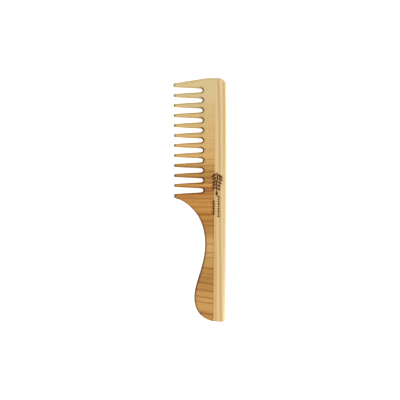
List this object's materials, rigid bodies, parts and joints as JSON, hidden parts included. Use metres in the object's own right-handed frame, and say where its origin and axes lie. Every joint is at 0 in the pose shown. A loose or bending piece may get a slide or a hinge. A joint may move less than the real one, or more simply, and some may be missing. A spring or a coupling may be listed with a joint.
{
  "type": "wide tooth comb",
  "caption": "Wooden wide tooth comb with a curved handle, its cross-grained toothed panel glued to a long-grained spine along the back.",
  "frame": {"origin": "middle of the comb's box, on the face that it lies on", "axes": "+X along the comb from the toothed end to the end of the handle, +Y from the tooth tips to the back, +Z out of the upper face"},
  "size_m": [0.195, 0.044, 0.009],
  "materials": {
    "panel_wood": "oiled, satin, fibres along the teeth",
    "spine_wood": "oiled, satin, fibres along the comb"
  },
  "bodies": {
    "root": {"tooth_panel": "panel_wood", "spine_strip": "spine_wood"}
  },
  "joints": []
}
